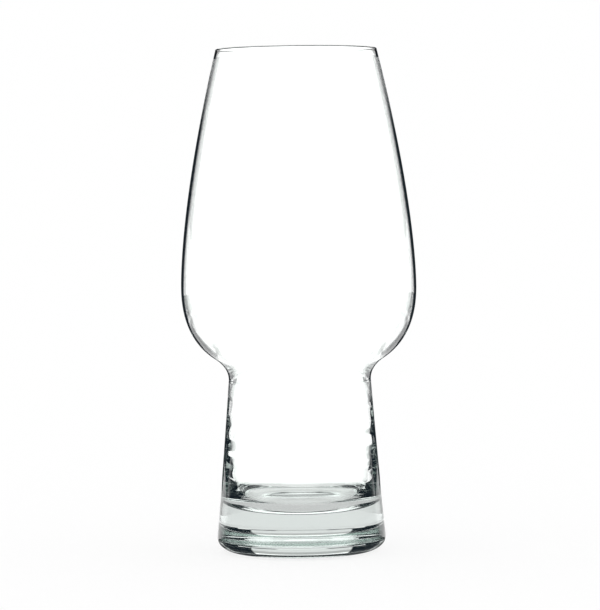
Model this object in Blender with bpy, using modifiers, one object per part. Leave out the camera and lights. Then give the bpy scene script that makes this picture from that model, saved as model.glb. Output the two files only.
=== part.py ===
"""A stout glass in two pieces of the same glass: a thin blown bowl, welded at the neck to a
pressed base with a hollow chamber and a heavy solid foot.

Metres, +Z up. The glass stands on z = 0 and Z is its axis. Every point of an outline is a
radius and a height.
"""

import math

import bpy

# Outside of the base, from the table up to the weld at the neck.
NECK_Z = 0.064
NECK_R = 0.0264
FOOT_R = 0.03195  # where the side's slope would meet the table
FOOT_FLARE = 0.1  # growth in radius over the fall in height, at the foot
FOOT_PULL = 0.024  # how far up the side keeps that slope
HEEL_H = 0.0057  # height of the rounding between the side and the underside
HEEL_W = 0.0071  # and its width
ROUND = 0.55  # how full that rounding is; 0.55 is a quarter of an ellipse
REST_WIDTH = 0.0035  # of the flat ring that the glass stands on
PUNT_DEPTH = 0.0012  # of the shallow hollow inside that ring

# Chamber inside the base.
FLOOR_Z = 0.0141  # its lowest place, in the middle
FLOOR_R = 0.0147  # out to here the floor is a shallow dish
FLOOR_RISE = 0.0011  # of that dish
CORNER_H = 0.02  # height of the large rounding between the floor and the wall
CORNER_PULL_IN = 0.01
CORNER_PULL_UP = 0.012
WALL_LOW = 0.0027  # glass thickness at the top of that rounding
WIDE_Z = 0.05  # where the chamber is upright, before it closes in to the throat
WALL_WIDE = 0.0012  # glass thickness there
THROAT_PULL = 0.008
THROAT_PULL_UP = 0.002
THROAT_LEAN = 0.08  # inward over upward, where the throat runs through the weld

# Outside of the bowl. Its heights are counted from the weld.
BOWL_H = 0.123
MOUTH_R = 0.0299
MOUTH_FLARE = 0.242  # growth in radius over the fall in height, at the mouth
BELLY_R = 0.0437
BELLY_RISE = 0.0344
SHOULDER_OUT = 0.0051  # beyond the neck, where the shoulder turns from bulging to hollow
SHOULDER_RISE = 0.0081
SHOULDER_LEAN = math.radians(57.3)  # from upright, at that place

# How far each curve of the bowl's side keeps the direction it has at its ends.
MOUTH_PULL = 0.0523
BELLY_PULL_UP = 0.008
BELLY_PULL_DOWN = 0.0157
SHOULDER_PULL_UP = 0.0063
SHOULDER_PULL_DOWN = 0.003
NECK_PULL = 0.0038

# Thickness of the bowl's wall.
LIP_WALL = 0.0009
BELLY_WALL = 0.001
SHOULDER_WALL = 0.0016
NECK_WALL = 0.0016

WELD_GAP = 0.0003  # between the two weld faces
STEPS = 64  # facets around the axis

DOWN = (0.0, -1.0)
UP = (0.0, 1.0)
INWARD = (-1.0, 0.0)
OUTWARD = (1.0, 0.0)


def curve(start, start_way, start_pull, end, end_way, end_pull, count):
    """Points along a smooth curve, without its start. The ways are its directions at the ends."""
    near = [a + way * start_pull for a, way in zip(start, start_way)]
    far = [b - way * end_pull for b, way in zip(end, end_way)]
    points = []
    for i in range(1, count + 1):
        t = i / count
        s = 1 - t
        weights = (s**3, 3 * s * s * t, 3 * s * t * t, t**3)
        points.append(
            tuple(
                sum(weight * value for weight, value in zip(weights, values))
                for values in zip(start, near, far, end)
            )
        )
    return points


def arc(centre, radius, first, last, count):
    """Points along an arc, with both its ends."""
    angles = [first + (last - first) * i / count for i in range(count + 1)]
    return [
        (centre[0] + radius * math.cos(a), centre[1] + radius * math.sin(a))
        for a in angles
    ]


def radius_at(side, height):
    """The radius of a falling side at a height."""
    for (upper_r, upper_z), (lower_r, lower_z) in zip(side, side[1:]):
        if lower_z <= height <= upper_z:
            share = (upper_z - height) / (upper_z - lower_z)
            return upper_r + share * (lower_r - upper_r)
    raise ValueError("the height is outside the side")


def bowl_side(lip_wall, belly_wall, shoulder_wall, neck_wall, neck_lean):
    """One side of the bowl from the mouth to the weld, this far inside the outer surface."""
    lean = (-math.sin(SHOULDER_LEAN), -math.cos(SHOULDER_LEAN))
    mouth = (MOUTH_R - lip_wall, NECK_Z + BOWL_H - LIP_WALL / 2)
    belly = (BELLY_R - belly_wall, NECK_Z + BELLY_RISE)
    shoulder = (
        NECK_R + SHOULDER_OUT + shoulder_wall * lean[1],
        NECK_Z + SHOULDER_RISE - shoulder_wall * lean[0],
    )
    neck = (NECK_R - neck_wall, NECK_Z + WELD_GAP / 2)
    points = [mouth]
    points += curve(
        mouth, (MOUTH_FLARE, -1.0), MOUTH_PULL, belly, DOWN, BELLY_PULL_UP, 10
    )
    points += curve(
        belly, DOWN, BELLY_PULL_DOWN, shoulder, lean, SHOULDER_PULL_UP, 8
    )
    neck_way = (neck_lean, -1.0)
    points += curve(shoulder, lean, SHOULDER_PULL_DOWN, neck, neck_way, NECK_PULL, 5)
    return points


def bowl_outline():
    """Down the outside, across the weld face, up the inside and over the rounded lip."""
    outside = bowl_side(0.0, 0.0, 0.0, 0.0, 0.0)
    inside = bowl_side(LIP_WALL, BELLY_WALL, SHOULDER_WALL, NECK_WALL, THROAT_LEAN)
    radius = LIP_WALL / 2
    middle = (MOUTH_R - radius, NECK_Z + BOWL_H - radius)
    lip = arc(middle, radius, math.pi, 0.0, 6)
    return outside + inside[::-1] + lip[1:-1]


def base_side():
    """The outside of the base from the weld down to the ring that it stands on."""
    weld = (NECK_R, NECK_Z - WELD_GAP / 2)
    heel = (FOOT_R - FOOT_FLARE * HEEL_H, HEEL_H)
    rest = (heel[0] - HEEL_W, 0.0)
    way = (FOOT_FLARE, -1.0)
    fall = curve(weld, DOWN, 0.0, heel, way, FOOT_PULL, 7)
    rounding = curve(heel, way, HEEL_H * ROUND, rest, INWARD, HEEL_W * ROUND, 7)
    return [weld] + fall + rounding


def chamber_side(outside):
    """The inside of the base from the middle of its floor up to the weld."""
    middle = (0.0, FLOOR_Z)
    floor_edge = (FLOOR_R, FLOOR_Z + FLOOR_RISE)
    floor_way = (1.0, 2 * FLOOR_RISE / FLOOR_R)
    low_z = FLOOR_Z + CORNER_H
    third = (WIDE_Z - low_z) / 3
    low = (radius_at(outside, low_z) - WALL_LOW, low_z)
    wide = (radius_at(outside, WIDE_Z) - WALL_WIDE, WIDE_Z)
    side = (2 * (wide[0] - low[0]) / (wide[1] - low[1]), 1.0)
    weld = (NECK_R - NECK_WALL, NECK_Z - WELD_GAP / 2)
    throat_way = (-THROAT_LEAN, 1.0)
    points = [middle]
    points += curve(middle, OUTWARD, FLOOR_R / 3, floor_edge, floor_way, FLOOR_R / 3, 3)
    points += curve(floor_edge, floor_way, CORNER_PULL_IN, low, side, CORNER_PULL_UP, 9)
    points += curve(low, side, third, wide, UP, third, 3)
    points += curve(wide, UP, THROAT_PULL, weld, throat_way, THROAT_PULL_UP, 5)
    return points


def base_outline():
    """Up inside the chamber, across the weld face, down outside and in under the foot."""
    outside = base_side()
    rest = (outside[-1][0] - REST_WIDTH, 0.0)
    punt = (0.0, PUNT_DEPTH)
    hollow = curve(rest, INWARD, 0.0, punt, INWARD, rest[0] / 2, 5)
    return chamber_side(outside) + outside + [rest] + hollow


def turned(name, outline, closed, material, collection, parent):
    """A piece turned around Z from its outline."""
    count = len(outline)
    edges = [(i, i + 1) for i in range(count - 1)]
    if closed:
        edges.append((count - 1, 0))
    mesh = bpy.data.meshes.new(name)
    mesh.from_pydata([(r, 0.0, z) for r, z in outline], edges, [])
    mesh.materials.append(material)
    piece = bpy.data.objects.new(name, mesh)
    collection.objects.link(piece)
    piece.parent = parent
    screw = piece.modifiers.new("turn", "SCREW")
    screw.axis = "Z"
    screw.angle = 2 * math.pi
    screw.steps = STEPS
    screw.render_steps = STEPS
    screw.use_merge_vertices = True
    screw.merge_threshold = 0.00001
    screw.use_smooth_shade = True
    return piece


def clear_glass(name, tint, roughness):
    """Clear glass with a slight tint."""
    material = bpy.data.materials.new(name)
    material.use_nodes = True
    shader = material.node_tree.nodes["Principled BSDF"]
    shader.inputs["Base Color"].default_value = (*tint, 1.0)
    shader.inputs["Roughness"].default_value = roughness
    shader.inputs["Metallic"].default_value = 0.0
    shader.inputs["Transmission Weight"].default_value = 1.0
    shader.inputs["IOR"].default_value = 1.52
    return material


for old in list(bpy.data.objects):
    bpy.data.objects.remove(old, do_unlink=True)

glass = bpy.data.collections.new("stout_glass")
bpy.context.scene.collection.children.link(glass)
stand = bpy.data.objects.new("stout_glass", None)
stand.empty_display_size = 0.02
glass.objects.link(stand)

blown = clear_glass("blown_glass", (0.96, 0.98, 0.975), 0.0)
pressed = clear_glass("pressed_glass", (0.93, 0.955, 0.95), 0.02)
turned("bowl", bowl_outline(), True, blown, glass, stand)
turned("base", base_outline(), False, pressed, glass, stand)
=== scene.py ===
"""A stout glass on a white table: a blown bowl and a pressed base, both of clear glass.

Metres and degrees, +Z up. The glass stands on z = 0 and Z is its axis. Every point of an
outline is a radius and a height, as in the part's source.
"""

import math

import bpy
from mathutils import Matrix, Vector


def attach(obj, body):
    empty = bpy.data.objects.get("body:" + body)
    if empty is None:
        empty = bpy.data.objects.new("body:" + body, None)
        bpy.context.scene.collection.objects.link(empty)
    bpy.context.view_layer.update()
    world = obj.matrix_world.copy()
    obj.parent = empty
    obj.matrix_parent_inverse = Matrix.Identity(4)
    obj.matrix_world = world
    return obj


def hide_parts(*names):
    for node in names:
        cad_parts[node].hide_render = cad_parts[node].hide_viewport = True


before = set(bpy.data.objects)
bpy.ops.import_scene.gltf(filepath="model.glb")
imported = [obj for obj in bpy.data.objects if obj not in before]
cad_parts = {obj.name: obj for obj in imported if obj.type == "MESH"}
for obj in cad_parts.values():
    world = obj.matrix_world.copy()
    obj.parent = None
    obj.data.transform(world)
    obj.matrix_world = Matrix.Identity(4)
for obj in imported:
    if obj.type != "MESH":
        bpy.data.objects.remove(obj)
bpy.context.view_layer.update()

# Outside of the base, from the table up to the weld at the neck.
NECK_Z = 0.064
NECK_R = 0.0264
FOOT_R = 0.03195  # where the side's slope would meet the table
FOOT_FLARE = 0.1  # growth in radius over the fall in height, at the foot
FOOT_PULL = 0.024  # how far up the side keeps that slope
HEEL_H = 0.0057  # height of the rounding between the side and the underside
HEEL_W = 0.0071  # and its width
ROUND = 0.55  # how full that rounding is; 0.55 is a quarter of an ellipse
REST_WIDTH = 0.0035  # of the flat ring that the glass stands on
PUNT_DEPTH = 0.0012  # of the shallow hollow inside that ring

# Chamber inside the base.
FLOOR_Z = 0.0141  # its lowest place, in the middle
FLOOR_R = 0.0147  # out to here the floor is a shallow dish
FLOOR_RISE = 0.0011  # of that dish
CORNER_H = 0.02  # height of the large rounding between the floor and the wall
CORNER_PULL_IN = 0.01
CORNER_PULL_UP = 0.012
WALL_LOW = 0.0027  # glass thickness at the top of that rounding
WIDE_Z = 0.05  # where the chamber is upright, before it closes in to the throat
WALL_WIDE = 0.0012  # glass thickness there
THROAT_PULL = 0.008
THROAT_PULL_UP = 0.002

# Slow waves that pressing leaves in the chamber's wall. Around the glass they climb by one step.
WAVE = 0.00004
WAVE_STEP = 0.0075
WAVE_LOW = 0.02  # the heights that they lie between
WAVE_HIGH = 0.06
WAVE_FADE = 5.0  # they grow and fade over a fifth of that height

# Outside of the bowl. Its heights are counted from the weld.
BOWL_H = 0.123
MOUTH_R = 0.0299
MOUTH_FLARE = 0.242  # growth in radius over the fall in height, at the mouth
BELLY_R = 0.0437
BELLY_RISE = 0.0344
SHOULDER_OUT = 0.0051  # beyond the neck, where the shoulder turns from bulging to hollow
SHOULDER_RISE = 0.0081
SHOULDER_LEAN = math.radians(57.3)  # from upright, at that place

# How far each curve of the bowl's side keeps the direction it has at its ends. The last four are
# below the belly, above and below the shoulder's turn, and at the neck.
MOUTH_PULL = 0.0523
BELLY_PULL_UP = 0.008
OUTER_PULLS = (0.0157, 0.0063, 0.003, 0.0038)
INNER_PULLS = (0.0157, 0.006, 0.0032, 0.0044)

# Thickness of the bowl's wall. At the shoulder it is thinner than the solid's, and its inner side
# is steeper than its outer side, which gives the grey band there the width it has.
LIP_WALL = 0.0009
BELLY_WALL = 0.001
SHOULDER_WALL = 0.00104
NECK_WALL = 0.00138
STEEPER = math.radians(7.2)

WELD_GAP = 0.00002  # between the two weld faces

# How fine the pieces are: points along each curve, and around the axis.
BOWL_POINTS = (48, 32, 20)  # down to the belly, to the shoulder's turn and to the neck
LIP_POINTS = 12
BASE_POINTS = (40, 32)  # down the side and around the heel
CHAMBER_POINTS = (24, 60, 60, 40)  # floor, corner, wall and throat
PUNT_POINTS = 20
AROUND = 192
ON_AXIS = 1e-9  # a point nearer than this to the axis becomes one point, not a ring
SHARP = math.radians(50)  # an edge that turns by more than this stays sharp

DOWN = (0.0, -1.0)
UP = (0.0, 1.0)
INWARD = (-1.0, 0.0)
OUTWARD = (1.0, 0.0)


def curve(start, start_way, start_pull, end, end_way, end_pull, count):
    """Points along a smooth curve, without its start. The ways are its directions at the ends."""
    near = [a + way * start_pull for a, way in zip(start, start_way)]
    far = [b - way * end_pull for b, way in zip(end, end_way)]
    points = []
    for i in range(1, count + 1):
        t = i / count
        s = 1 - t
        weights = (s**3, 3 * s * s * t, 3 * s * t * t, t**3)
        points.append(
            tuple(
                sum(weight * value for weight, value in zip(weights, values))
                for values in zip(start, near, far, end)
            )
        )
    return points


def arc(centre, radius, first, last, count):
    """Points along an arc, with both its ends."""
    angles = [first + (last - first) * i / count for i in range(count + 1)]
    return [(centre[0] + radius * math.cos(a), centre[1] + radius * math.sin(a)) for a in angles]


def radius_at(side, height):
    """The radius of a falling side at a height."""
    for (upper_r, upper_z), (lower_r, lower_z) in zip(side, side[1:]):
        if lower_z <= height <= upper_z:
            share = (upper_z - height) / (upper_z - lower_z)
            return upper_r + share * (lower_r - upper_r)
    raise ValueError("the height is outside the side")


def bowl_side(walls, steeper, pulls):
    """One side of the bowl from the mouth to the weld, this far inside the outer surface."""
    lip_wall, belly_wall, shoulder_wall, neck_wall = walls
    belly_pull, shoulder_pull_up, shoulder_pull_down, neck_pull = pulls
    to_belly, to_shoulder, to_neck = BOWL_POINTS
    way = (-math.sin(SHOULDER_LEAN - steeper), -math.cos(SHOULDER_LEAN - steeper))
    mouth = (MOUTH_R - lip_wall, NECK_Z + BOWL_H - LIP_WALL / 2)
    belly = (BELLY_R - belly_wall, NECK_Z + BELLY_RISE)
    shoulder = (
        NECK_R + SHOULDER_OUT - shoulder_wall * math.cos(SHOULDER_LEAN),
        NECK_Z + SHOULDER_RISE + shoulder_wall * math.sin(SHOULDER_LEAN),
    )
    neck = (NECK_R - neck_wall, NECK_Z + WELD_GAP / 2)
    points = [mouth]
    points += curve(mouth, (MOUTH_FLARE, -1.0), MOUTH_PULL, belly, DOWN, BELLY_PULL_UP, to_belly)
    points += curve(belly, DOWN, belly_pull, shoulder, way, shoulder_pull_up, to_shoulder)
    points += curve(shoulder, way, shoulder_pull_down, neck, DOWN, neck_pull, to_neck)
    return points


def bowl_outline():
    """Down the outside, across the weld face, up the inside and over the rounded lip."""
    outside = bowl_side((0.0, 0.0, 0.0, 0.0), 0.0, OUTER_PULLS)
    walls = (LIP_WALL, BELLY_WALL, SHOULDER_WALL, NECK_WALL)
    inside = bowl_side(walls, STEEPER, INNER_PULLS)
    radius = LIP_WALL / 2
    middle = (MOUTH_R - radius, NECK_Z + BOWL_H - radius)
    lip = arc(middle, radius, math.pi, 0.0, LIP_POINTS)
    return outside + inside[::-1] + lip[1:-1]


def base_side():
    """The outside of the base from the weld down to the ring that it stands on."""
    down_side, around_heel = BASE_POINTS
    weld = (NECK_R, NECK_Z - WELD_GAP / 2)
    heel = (FOOT_R - FOOT_FLARE * HEEL_H, HEEL_H)
    rest = (heel[0] - HEEL_W, 0.0)
    way = (FOOT_FLARE, -1.0)
    fall = curve(weld, DOWN, 0.0, heel, way, FOOT_PULL, down_side)
    rounding = curve(heel, way, HEEL_H * ROUND, rest, INWARD, HEEL_W * ROUND, around_heel)
    return [weld] + fall + rounding


def chamber_side(outside):
    """The inside of the base from the middle of its floor up to the weld."""
    on_floor, in_corner, on_wall, in_throat = CHAMBER_POINTS
    middle = (0.0, FLOOR_Z)
    floor_edge = (FLOOR_R, FLOOR_Z + FLOOR_RISE)
    floor_way = (1.0, 2 * FLOOR_RISE / FLOOR_R)
    floor_pull = FLOOR_R / 3
    low_z = FLOOR_Z + CORNER_H
    low = (radius_at(outside, low_z) - WALL_LOW, low_z)
    wide = (radius_at(outside, WIDE_Z) - WALL_WIDE, WIDE_Z)
    side = (2 * (wide[0] - low[0]) / (wide[1] - low[1]), 1.0)
    side_pull = (WIDE_Z - low_z) / 3
    weld = (NECK_R - NECK_WALL, NECK_Z - WELD_GAP / 2)
    points = [middle]
    points += curve(middle, OUTWARD, floor_pull, floor_edge, floor_way, floor_pull, on_floor)
    points += curve(floor_edge, floor_way, CORNER_PULL_IN, low, side, CORNER_PULL_UP, in_corner)
    points += curve(low, side, side_pull, wide, UP, side_pull, on_wall)
    points += curve(wide, UP, THROAT_PULL, weld, UP, THROAT_PULL_UP, in_throat)
    return points


def base_outline():
    """Up inside the chamber, across the weld face, down outside and in under the foot."""
    outside = base_side()
    rest = (outside[-1][0] - REST_WIDTH, 0.0)
    punt = (0.0, PUNT_DEPTH)
    hollow = curve(rest, INWARD, 0.0, punt, INWARD, rest[0] / 2, PUNT_POINTS)
    return chamber_side(outside) + outside + [rest] + hollow


def wave(height, angle):
    """How far the waves move the chamber's wall outward at a height and an angle around Z."""
    share = (height - WAVE_LOW) / (WAVE_HIGH - WAVE_LOW)
    if not 0 < share < 1:
        return 0.0
    fade = min(1.0, WAVE_FADE * share, WAVE_FADE * (1 - share))
    return WAVE * fade * math.sin(2 * math.pi * height / WAVE_STEP + angle)


def place(name, points, faces):
    """A mesh as an object in the scene."""
    mesh = bpy.data.meshes.new(name)
    mesh.from_pydata(points, [], faces)
    mesh.validate()
    placed = bpy.data.objects.new(name, mesh)
    bpy.context.scene.collection.objects.link(placed)
    return placed


def turned(name, outline, closed, waved=0):
    """A piece turned around Z. This many of the outline's first points carry the waves."""
    rings = []
    points = []
    for i, (radius, height) in enumerate(outline):
        if radius < ON_AXIS:
            rings.append([len(points)])
            points.append((0.0, 0.0, height))
            continue
        rings.append(range(len(points), len(points) + AROUND))
        for k in range(AROUND):
            angle = 2 * math.pi * k / AROUND
            here = radius + wave(height, angle) if i < waved else radius
            points.append((here * math.cos(angle), here * math.sin(angle), height))
    pairs = list(zip(rings, rings[1:]))
    if closed:
        pairs.append((rings[-1], rings[0]))
    faces = []
    for ring, after in pairs:
        for k in range(AROUND):
            n = (k + 1) % AROUND
            if len(ring) == 1:
                faces.append((ring[0], after[k], after[n]))
            elif len(after) == 1:
                faces.append((ring[k], after[0], ring[n]))
            else:
                faces.append((ring[k], after[k], after[n], ring[n]))
    piece = place(name, points, faces)
    piece.data.shade_smooth()
    piece.data.set_sharp_from_angle(angle=SHARP)
    return piece


def srgb(text):
    """The linear colour of an sRGB hex text."""
    values = [int(text[i : i + 2], 16) / 255 for i in (1, 3, 5)]
    return [v / 12.92 if v <= 0.04045 else ((v + 0.055) / 1.055) ** 2.4 for v in values] + [1.0]


def node(tree, kind, *values, sockets=None, **settings):
    """Adds a node. The values fill its sockets in order, and the rest go by name or number.

    A value is a number, a colour, an output of another node, or a node for its first output.
    """
    made = tree.nodes.new("ShaderNode" + kind)
    for name, setting in settings.items():
        setattr(made, name, setting)
    for key, value in [*enumerate(values), *(sockets or {}).items()]:
        if isinstance(value, bpy.types.Node):
            value = value.outputs[0]
        if isinstance(value, bpy.types.NodeSocket):
            tree.links.new(value, made.inputs[key])
        else:
            made.inputs[key].default_value = value
    return made


def empty_tree(owner):
    """The node tree of a material or a world, without nodes."""
    owner.use_nodes = True
    owner.node_tree.nodes.clear()
    return owner.node_tree


# Cords: faint streaks that stirring leaves in the melt.
CORD_LENGTH = 0.025
CORD_HEIGHT = 0.008
CORD_DETAIL = 2.0
GLASS_IOR = 1.52
GLASS_DENSITY = 2.5  # how strongly a metre of glass takes on its body colour


def fire_polished_glass():
    """Crystal glass, smoothed by the flame: sharp reflections, and grey-green where it is thick."""
    material = bpy.data.materials.new("fire_polished_crystal_glass")
    tree = empty_tree(material)
    streaks = (1 / CORD_LENGTH, 1 / CORD_LENGTH, 1 / CORD_HEIGHT)
    point = node(tree, "TexCoord").outputs["Object"]
    drawn = node(tree, "VectorMath", point, streaks, operation="MULTIPLY")
    cords = node(tree, "TexNoise", drawn, sockets={"Scale": 1.0, "Detail": CORD_DETAIL})
    # Sockets 6 and 7 are the two colours, and output 2 is their mix.
    colours = {6: srgb("#FFFFFF"), 7: srgb("#F8FCFA")}
    tint = node(tree, "Mix", cords, sockets=colours, data_type="RGBA").outputs[2]
    smooth = {"Roughness": 0.0, "IOR": GLASS_IOR, "Transmission Weight": 1.0}
    surface = node(tree, "BsdfPrincipled", tint, sockets=smooth)
    body = node(tree, "VolumeAbsorption", srgb("#BCE2D7"), GLASS_DENSITY)
    node(tree, "OutputMaterial", surface, body)
    return material


glass = fire_polished_glass()
bowl = turned("blown_bowl", bowl_outline(), True)
base = turned("pressed_base", base_outline(), False, len(chamber_side(base_side())))
for piece, name in ((bowl, "bowl"), (base, "base")):
    piece.data.materials.append(glass)
    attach(piece, "root")
    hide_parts(name)

# What the glass sees of the studio.
#
# Clear glass shows only what it bends and mirrors. So each kind of ray that comes from the glass
# sees its own picture of the white table and the white room: straight through it, reflected inside
# its wall, or mirrored on its outside. On the table that picture is painted light and shade, seen
# only by these rays. Four lanes lead away from the glass, to the back, the front and both sides.
# Painted white lies in the lanes, and painted dark between them draws the edges of the glass.
#
# Of each pair, the first is where a zone counts as 0 and the second where it counts as 1. Pairs
# of lengths are radii around the glass. Degrees are counted from the nearest lane, from straight
# behind where the name says TURN, and up from the table where it says RISE.
WHITE = srgb("#FFFFFF")
DARK = srgb("#08161E")
LANE_HALF = 45.0  # degrees from a lane to half-way to the next one
LINE_START = 0.0255  # a line leaves the glass this far beside its lane
LINE_SLOPE = math.tan(math.radians(30))  # and goes out with this slope
LINE_EDGE = (-0.004, 0.004)  # from the line
LANE_EDGE = (-1.5, 1.5)  # from the white lane's edge
# Painted light and shade for rays from the glass: a glow above white, a dimmer white seen through the
# solid foot, and a painted dark reflection from the camera's side.
FULL_WHITE = 1.5  # makes up for what the surfaces of the glass take away
FOOT_WHITE = 0.8  # through the solid foot
FRONT_TURN = (50.0, 60.0)  # the camera's side of the glass
MIRROR_WHITE = 1.1
FRONT_WHITE = 0.08  # mirrored from the camera's side
MIRROR_LEAST = 0.02  # of the white that is left in a mirrored dark
OUTLINE_TURN = (30.0, 24.0)  # the dark behind the glass, mirrored in its outline


def zone(tree, *parts):
    """Multiplies shares. A part is a share, or a value with the pair where it counts as 0 and 1.

    The two levels may follow the pair where they aren't 0 and 1.
    """
    total = None
    for part in parts:
        if isinstance(part, tuple):
            part = node(tree, "MapRange", *part, interpolation_type="SMOOTHSTEP")
        total = part if total is None else node(tree, "Math", total, part, operation="MULTIPLY")
    return total


def turn(tree, x, y):
    """Degrees between a direction and straight behind the glass, to either side."""
    aside = node(tree, "Math", x, operation="ABSOLUTE")
    angle = node(tree, "Math", aside, y, operation="ARCTAN2")
    return node(tree, "Math", angle, operation="DEGREES")


def past_line(tree, side, ahead):
    """1 for what lies outside the line beside a lane, from its distances beside and along it."""
    line = node(tree, "Math", ahead, LINE_SLOPE, LINE_START, operation="MULTIPLY_ADD")
    return zone(tree, (node(tree, "Math", side, line, operation="SUBTRACT"), *LINE_EDGE))


def rays(tree):
    """The kinds of rays that the pictures differ for. Each is 0 or 1."""
    path = node(tree, "LightPath").outputs
    through = path["Is Transmission Ray"]
    bounces = path["Glossy Depth"]
    seen = node(tree, "Math", path["Is Glossy Ray"], through, operation="MAXIMUM")
    inside = zone(tree, through, (bounces, 0.0, 1.0))
    return {
        "camera": path["Is Camera Ray"],
        # From the glass, and not by way of a matt surface.
        "glass": zone(tree, seen, (path["Diffuse Depth"], 1.0, 0.0)),
        "mirror": zone(tree, (through, 1.0, 0.0)),
        "straight": zone(tree, through, (bounces, 1.0, 0.0)),
        # Through two surfaces at most: the solid foot, or the lip.
        "solid": zone(tree, through, (path["Transmission Depth"], 3.0, 2.0)),
        # Reflected inside the wall: at all, 3 times or more, 4 or more, less than 12, and 12 or more.
        "wall": inside,
        "deep": zone(tree, inside, (bounces, 2.0, 3.0)),
        "deeper": zone(tree, inside, (bounces, 3.0, 4.0)),
        "short": zone(tree, inside, (bounces, 12.0, 11.0)),
        "led": zone(tree, inside, (bounces, 11.0, 12.0)),
    }


# Straight through the glass.
FOOT_REACH = (0.322, 0.238)  # the solid foot shows the table up to here
FOOT_DARK = (0.0675, 0.0825)  # in the foot the dark begins here
BOWL_DARK = (0.117, 0.143)  # and in the bowl and the chamber here
LANE_FAR = (0.3, 0.55)  # the white lane narrows with the distance
LANE_FAR_HALF = (18.0, 12.0)  # from this half width to this
LANE_CLOSE = (0.1, 0.16)  # and close to the glass it is wider
LANE_CLOSE_MORE = (6.0, 0.0)  # by this, and no more further out
LINE_REACH = (0.36, 0.24)  # up to here the line is the lane's edge
BAND_END = (27.5, 24.5)  # the dark beside a lane ends here
LIP_DARK = (0.216, 0.264)  # dark for the lip, from here
LIP_REACH = (1.21, 0.99)  # to here
LIP_LANE = (17.5, 14.5)
LIP_SHADE = 0.95


def dark_straight(tree, spot, ray):
    """Where the table is dark for rays straight through the glass, and where the foot shows it."""
    reach, lane = spot["reach"], spot["lane"]
    far_edge = zone(tree, (reach, *LANE_FAR, *LANE_FAR_HALF))
    close_edge = zone(tree, (reach, *LANE_CLOSE, *LANE_CLOSE_MORE))
    lane_edge = node(tree, "Math", far_edge, close_edge, operation="ADD")
    off_lane = zone(tree, (node(tree, "Math", lane, lane_edge, operation="SUBTRACT"), *LANE_EDGE))
    side = node(tree, "Math", spot["across"], spot["along"], operation="MINIMUM")
    ahead = node(tree, "Math", spot["across"], spot["along"], operation="MAXIMUM")
    off_line = past_line(tree, side, ahead)
    close_by = zone(tree, (reach, *LINE_REACH))
    beside = node(tree, "MapRange", close_by, 0.0, 1.0, off_lane, off_line)
    band = zone(tree, beside, (lane, *BAND_END))
    bowl_dark = zone(tree, (reach, *BOWL_DARK))
    foot_dark = zone(tree, (reach, *FOOT_DARK))
    foot = zone(tree, ray["solid"], (reach, *FOOT_REACH))
    off_near = node(tree, "MapRange", foot, 0.0, 1.0, bowl_dark, foot_dark)
    around = node(tree, "MapRange", bowl_dark, 0.0, 1.0, beside, band)
    dark = zone(tree, off_near, around)
    lip = zone(
        tree, ray["solid"], LIP_SHADE, (reach, *LIP_DARK), (reach, *LIP_REACH), (lane, *LIP_LANE)
    )
    return node(tree, "Math", dark, lip, operation="MAXIMUM"), foot


# Reflected inside the wall.
OFF_FOOT = (0.0288, 0.0352)
UNDER_FOOT = (0.0352, 0.0288)
# Painted shade: the table under the foot is dimmer, and a ring of painted shadow lies around it, for
# rays reflected inside the wall.
UNDER_WHITE = 0.62  # of the table under the foot
RING_END = (0.0609, 0.0551)  # a dark ring around the foot ends here
BACK_RING_END = (0.0945, 0.0855)  # and behind it here
BACK_RING_TURN = (22.0, 18.0)
WALL_DARK = (0.09025, 0.09975)  # the dark begins here
ASIDE_REACH = (0.363, 0.297)  # white to the sides, up to here
AHEAD_REACH = (0.22, 0.18)  # grey in the lanes, up to here
AHEAD_LANE = (28.5, 25.5)
AHEAD_WHITE = 0.55
OUTLINE_FROM = (0.315, 0.385)  # beyond this only the outline's dark is left
CORNER_REACH = (0.825, 0.675)  # the outline's dark in front, to the right
DEEP_DARK = (0.0225, 0.0275)  # dark from here after many reflections


def dark_outline(tree, spot):
    """Where the outline's reflections go: behind the glass, and nearer by in front to the right."""
    right = node(tree, "Math", spot["x"], spot["y"], operation="ADD")
    left = node(tree, "Math", spot["x"], spot["y"], operation="SUBTRACT")
    corner_turn = turn(tree, right, left)
    corner = zone(tree, (corner_turn, *OUTLINE_TURN), (spot["reach"], *CORNER_REACH))
    back = zone(tree, (spot["behind"], *OUTLINE_TURN))
    return node(tree, "Math", back, corner, operation="MAXIMUM")


def dark_inside(tree, spot, ray, outline):
    """Where the table is dark for rays that were reflected inside the wall."""
    reach = spot["reach"]
    off_foot = zone(tree, (reach, *OFF_FOOT))
    ring = zone(tree, off_foot, (reach, *RING_END))
    back_ring = zone(tree, off_foot, (reach, *BACK_RING_END), (spot["behind"], *BACK_RING_TURN))
    rings = node(tree, "Math", ring, back_ring, operation="MAXIMUM")
    past_side = past_line(tree, spot["across"], spot["along"])
    aside = zone(tree, past_side, (reach, *ASIDE_REACH))
    ahead = zone(tree, AHEAD_WHITE, (spot["lane"], *AHEAD_LANE), (reach, *AHEAD_REACH))
    white = node(tree, "Math", aside, ahead, operation="MAXIMUM")
    beyond = zone(tree, (reach, *WALL_DARK))
    dark = node(tree, "Math", beyond, white, operation="SUBTRACT")
    dark = node(tree, "Math", rings, dark, operation="MAXIMUM")
    dark = node(tree, "MapRange", zone(tree, (reach, *OUTLINE_FROM)), 0.0, 1.0, dark, outline)
    deep = zone(tree, ray["deep"], (reach, *DEEP_DARK))
    return node(tree, "Math", dark, deep, operation="MAXIMUM")


# Mirrored on the outside.
MIRROR_DARK = (0.2496, 0.2704)  # the dark begins here
WIDER_FROM = (0.4365, 0.4635)  # and is wider from here
WIDER_END = (1.03, 0.97)  # to here
WIDER_TURN = (51.5, 48.5)


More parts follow.
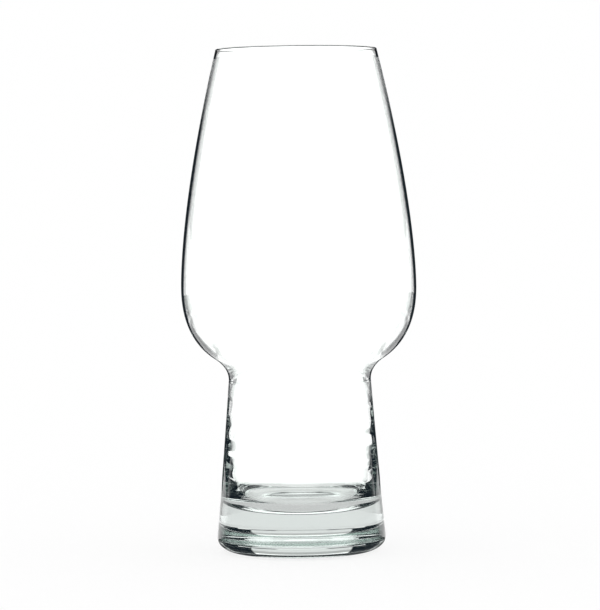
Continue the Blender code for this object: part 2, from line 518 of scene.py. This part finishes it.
def dark_mirrored(tree, spot, outline):
    """Where the table is dark for rays mirrored on the outside of the glass."""
    reach = spot["reach"]
    wider = zone(tree, (reach, *WIDER_FROM), (reach, *WIDER_END), (spot["behind"], *WIDER_TURN))
    either = node(tree, "Math", outline, wider, operation="MAXIMUM")
    return zone(tree, either, (reach, *MIRROR_DARK, 0.0, 1.0 - MIRROR_LEAST))


# How bright the white looks.
# Painted shade near the foot, seen straight through the chamber's floor.
FLOOR_SEEN = (0.0384, 0.0576)  # through the chamber's floor, the table is dimmer inside this
FLOOR_WHITE = 0.8


def table_white(tree, spot, ray, foot):
    """How bright the white of the table is for the rays from the glass."""
    reach = spot["reach"]
    near = zone(tree, (reach, *FLOOR_SEEN, FLOOR_WHITE, FULL_WHITE))
    white = node(tree, "MapRange", ray["straight"], 0.0, 1.0, FULL_WHITE, near)
    through_foot = zone(tree, ray["straight"], foot)
    white = node(tree, "MapRange", through_foot, 0.0, 1.0, white, FOOT_WHITE)
    under = zone(tree, ray["wall"], (reach, *UNDER_FOOT))
    white = node(tree, "MapRange", under, 0.0, 1.0, white, UNDER_WHITE)
    front = zone(tree, (spot["behind"], *FRONT_TURN))
    mirrored = node(tree, "MapRange", front, 0.0, 1.0, MIRROR_WHITE, FRONT_WHITE)
    return node(tree, "MapRange", ray["mirror"], 0.0, 1.0, white, mirrored)


TABLE_HALF = 8.0
TABLE_Z = -0.0002  # a little below the foot, so that their faces don't share a plane
CARD_ROUGHNESS = 0.9
CARD_GLOW = 0.8  # how far the camera sees the card as pure white


def white_card_with_painted_light():
    """White card, no gloss, faint shadow; rays from the glass see painted light and shade on it."""
    material = bpy.data.materials.new("white_card_with_painted_light")
    tree = empty_tree(material)
    ray = rays(tree)
    point = node(tree, "NewGeometry").outputs["Position"]
    flat = node(tree, "VectorMath", point, (1.0, 1.0, 0.0), operation="MULTIPLY")
    spot = {"reach": node(tree, "VectorMath", flat, operation="LENGTH").outputs["Value"]}
    spot["x"], spot["y"] = node(tree, "SeparateXYZ", point).outputs[:2]
    spot["across"] = node(tree, "Math", spot["x"], operation="ABSOLUTE")
    spot["along"] = node(tree, "Math", spot["y"], operation="ABSOLUTE")
    spot["behind"] = turn(tree, spot["x"], spot["y"])
    spot["lane"] = node(tree, "Math", spot["behind"], LANE_HALF, operation="PINGPONG")
    outline = dark_outline(tree, spot)
    straight, foot = dark_straight(tree, spot, ray)
    inside = dark_inside(tree, spot, ray, outline)
    mirrored = dark_mirrored(tree, spot, outline)
    dark = node(tree, "MapRange", ray["wall"], 0.0, 1.0, straight, inside)
    dark = node(tree, "MapRange", ray["mirror"], 0.0, 1.0, dark, mirrored)
    # Painted light and shade: for rays from the glass the table glows white at painted levels, and
    # blue-black.
    white = node(tree, "Emission", WHITE, table_white(tree, spot, ray, foot))
    black = node(tree, "Emission", DARK, 1.0)
    from_glass = node(tree, "MixShader", dark, white, black)
    matt = {"Roughness": CARD_ROUGHNESS, "Specular IOR Level": 0.0}
    card = node(tree, "BsdfPrincipled", srgb("#F2F2F2"), sockets=matt)
    glow = node(tree, "Emission", WHITE, 1.0)
    plain = node(tree, "MixShader", zone(tree, ray["camera"], CARD_GLOW), card, glow)
    node(tree, "OutputMaterial", node(tree, "MixShader", ray["glass"], plain, from_glass))
    return material


corners = [(-1, -1), (1, -1), (1, 1), (-1, 1)]
table = place("table", [(x * TABLE_HALF, y * TABLE_HALF, TABLE_Z) for x, y in corners], [(0, 1, 2, 3)])
table.data.materials.append(white_card_with_painted_light())

# Painted shade around the base: dark sheets that stand between the lanes and glow blue-black,
# and only the rays from the glass that are named here meet them.
CARD_FROM = math.radians(26)  # from the nearest lane
CARD_STEPS = 16
CARDS = (
    # name, radius, height, rays
    ("painted_shade_cards", 0.075, 0.02, "short"),
    ("painted_shade_strips", 0.112, 0.012, "solid"),
)


def painted_shade_card(kind):
    """Painted shade: an even blue-black glow. All rays but those of one kind go through it."""
    material = bpy.data.materials.new("painted_shade_card")
    tree = empty_tree(material)
    ray = rays(tree)
    clear = node(tree, "BsdfTransparent")
    black = node(tree, "Emission", DARK, 1.0)
    stops = zone(tree, ray["glass"], ray[kind])
    node(tree, "OutputMaterial", node(tree, "MixShader", stops, clear, black))
    return material


def standing_cards(name, radius, height):
    """Four curved upright strips between the lanes."""
    points = []
    faces = []
    for quarter in range(4):
        first = math.pi / 2 * quarter + CARD_FROM
        last = math.pi / 2 * (quarter + 1) - CARD_FROM
        start = len(points)
        for i in range(CARD_STEPS + 1):
            a = first + (last - first) * i / CARD_STEPS
            points += [(radius * math.sin(a), radius * math.cos(a), z) for z in (0.0, height)]
        faces += [(k, k + 2, k + 3, k + 1) for k in range(start, start + 2 * CARD_STEPS, 2)]
    cards = place(name, points, faces)
    cards.visible_camera = False
    cards.visible_diffuse = False
    cards.visible_shadow = False
    return cards


for name, radius, height, kind in CARDS:
    cards = standing_cards(name, radius, height)
    cards.data.materials.append(painted_shade_card(kind))

# The white room around the table.
FAR_LANE = (13.5, 10.5)  # down at the table's far edge only the middle of a lane is white
ROOM_RISE = (0.3, 1.3)
WINDOW = (27.81, 26.19)  # straight through the glass: an even window in each lane
WINDOW_TOP_RISE = (30.0, 38.0)
SOFT_WINDOW = (32.4, 16.2)  # reflected inside the wall: a soft one, dimmer at its foot
SOFT_RISE = (10.0, 14.0)
SOFT_LOW = 0.3
SIDE_TURN = (33.0, 45.0)  # and grey to both sides, from straight behind or in front
SIDE_WHITE = 0.35
SOFT_TOP_RISE = (14.0, 22.0)
DEEP_TOP_RISE = (34.0, 42.0)  # all that is left after many reflections
TOP_WHITE = 0.8  # above the windows
OVERHEAD_RISE = (55.0, 65.0)
OVERHEAD = 0.3
MIRROR_TURN = OUTLINE_TURN[::-1]  # mirrored on the outside: white but for the outline's dark
MIRROR_RISE = (8.0, 12.0)
FOOT_RISE = (8.5, 11.5)  # the foot shows a dim band of the room
FOOT_BAND = 0.5
FOOT_TOP_RISE = (19.0, 23.0)
FRONT_RISE = (8.0, 4.0)
LED_RISE = (11.0, 17.0)  # a pale edge where light is led along inside the wall
LED_GLOW = srgb("#E6EAE8")
EVEN_LIGHT = 1.12  # on the table; the camera sees 1


def white_room():
    """Even white light, with windows and dark for the rays from the glass."""
    world = bpy.data.worlds.new("studio")
    tree = empty_tree(world)
    ray = rays(tree)
    x, y, z = node(tree, "SeparateXYZ", node(tree, "TexCoord").outputs["Generated"]).outputs
    up = node(tree, "Math", node(tree, "Math", z, operation="ARCSINE"), operation="DEGREES")
    behind = turn(tree, x, y)
    lane = node(tree, "Math", behind, LANE_HALF, operation="PINGPONG")
    sideways = turn(tree, x, node(tree, "Math", y, operation="ABSOLUTE"))

    window = zone(tree, (lane, *WINDOW))
    top = zone(tree, TOP_WHITE, (up, *WINDOW_TOP_RISE))
    straight = node(tree, "Math", window, top, operation="MAXIMUM")

    soft = zone(tree, (lane, *SOFT_WINDOW), (up, *SOFT_RISE, SOFT_LOW, 1.0))
    side = zone(tree, SIDE_WHITE, (sideways, *SIDE_TURN))
    soft_top = zone(tree, TOP_WHITE, (up, *SOFT_TOP_RISE))
    inside = node(tree, "Math", soft, side, operation="MAXIMUM")
    inside = node(tree, "Math", inside, soft_top, operation="MAXIMUM")
    deep_top = zone(tree, TOP_WHITE, (up, *DEEP_TOP_RISE))
    inside = node(tree, "MapRange", ray["deeper"], 0.0, 1.0, inside, deep_top)
    inside = zone(tree, inside, (up, *OVERHEAD_RISE, 1.0, OVERHEAD))

    light = node(tree, "MapRange", ray["wall"], 0.0, 1.0, straight, inside)
    low = zone(tree, (lane, *FAR_LANE))
    light = node(tree, "MapRange", zone(tree, (up, *ROOM_RISE)), 0.0, 1.0, low, light)
    off_outline = zone(tree, (behind, *MIRROR_TURN))
    above = zone(tree, (up, *MIRROR_RISE))
    mirrored = node(tree, "Math", off_outline, above, operation="MAXIMUM")
    mirrored = node(tree, "Math", mirrored, MIRROR_LEAST, operation="MAXIMUM")
    light = node(tree, "MapRange", ray["mirror"], 0.0, 1.0, light, mirrored)

    foot_top = zone(tree, (up, *FOOT_TOP_RISE))
    foot_high = node(tree, "MapRange", foot_top, 0.0, 1.0, FOOT_BAND, FULL_WHITE)
    foot_rise = zone(tree, (up, *FOOT_RISE))
    foot = node(tree, "MapRange", foot_rise, 0.0, 1.0, FOOT_WHITE, foot_high)
    through_foot = zone(tree, ray["straight"], ray["solid"])
    white = node(tree, "MapRange", through_foot, 0.0, 1.0, FULL_WHITE, foot)
    front = zone(tree, (behind, *FRONT_TURN), (up, *FRONT_RISE))
    front_white = node(tree, "MapRange", front, 0.0, 1.0, MIRROR_WHITE, FRONT_WHITE)
    white = node(tree, "MapRange", ray["mirror"], 0.0, 1.0, white, front_white)

    dark_room = node(tree, "Background", DARK, 1.0)
    seen = node(tree, "MixShader", light, dark_room, node(tree, "Background", WHITE, white))
    led = zone(tree, ray["led"], (up, *LED_RISE))
    seen = node(tree, "MixShader", led, seen, node(tree, "Background", LED_GLOW, 1.0))
    even = node(tree, "MapRange", ray["camera"], 0.0, 1.0, EVEN_LIGHT, 1.0)
    plain = node(tree, "Background", WHITE, even)
    node(tree, "OutputWorld", node(tree, "MixShader", ray["glass"], plain, seen))
    return world


# Rays led along inside the foot and the wall need many reflections to come out.
BOUNCES = 128
scene = bpy.context.scene
scene.world = white_room()
scene.view_settings.view_transform = "Standard"
scene.cycles.max_bounces = BOUNCES
scene.cycles.transmission_bounces = BOUNCES
scene.cycles.glossy_bounces = BOUNCES

# Camera: a long lens, 2.3 m away and a little above the glass.
PICTURE_WIDTH = 600  # pixels
FOCUS = 6213  # in the same pixels
SENSOR = 36.0  # in millimetres, as Blender counts lenses
EYE = Vector((0.0, -2.3, 0.2875))
AIM = Vector((0.0004, 0.0, 0.09168))
ROLL = math.radians(-0.684)
NEAREST = 0.01  # that the camera shows
FURTHEST = 100.0
lens = bpy.data.cameras.new("camera")
lens.sensor_fit = "HORIZONTAL"
lens.sensor_width = SENSOR
lens.lens = FOCUS / PICTURE_WIDTH * SENSOR
lens.clip_start = NEAREST
lens.clip_end = FURTHEST
camera = bpy.data.objects.new("camera", lens)
scene.collection.objects.link(camera)
facing = (AIM - EYE).to_track_quat("-Z", "Y").to_matrix().to_4x4()
camera.matrix_world = Matrix.Translation(EYE) @ facing @ Matrix.Rotation(ROLL, 4, "Z")
scene.camera = camera
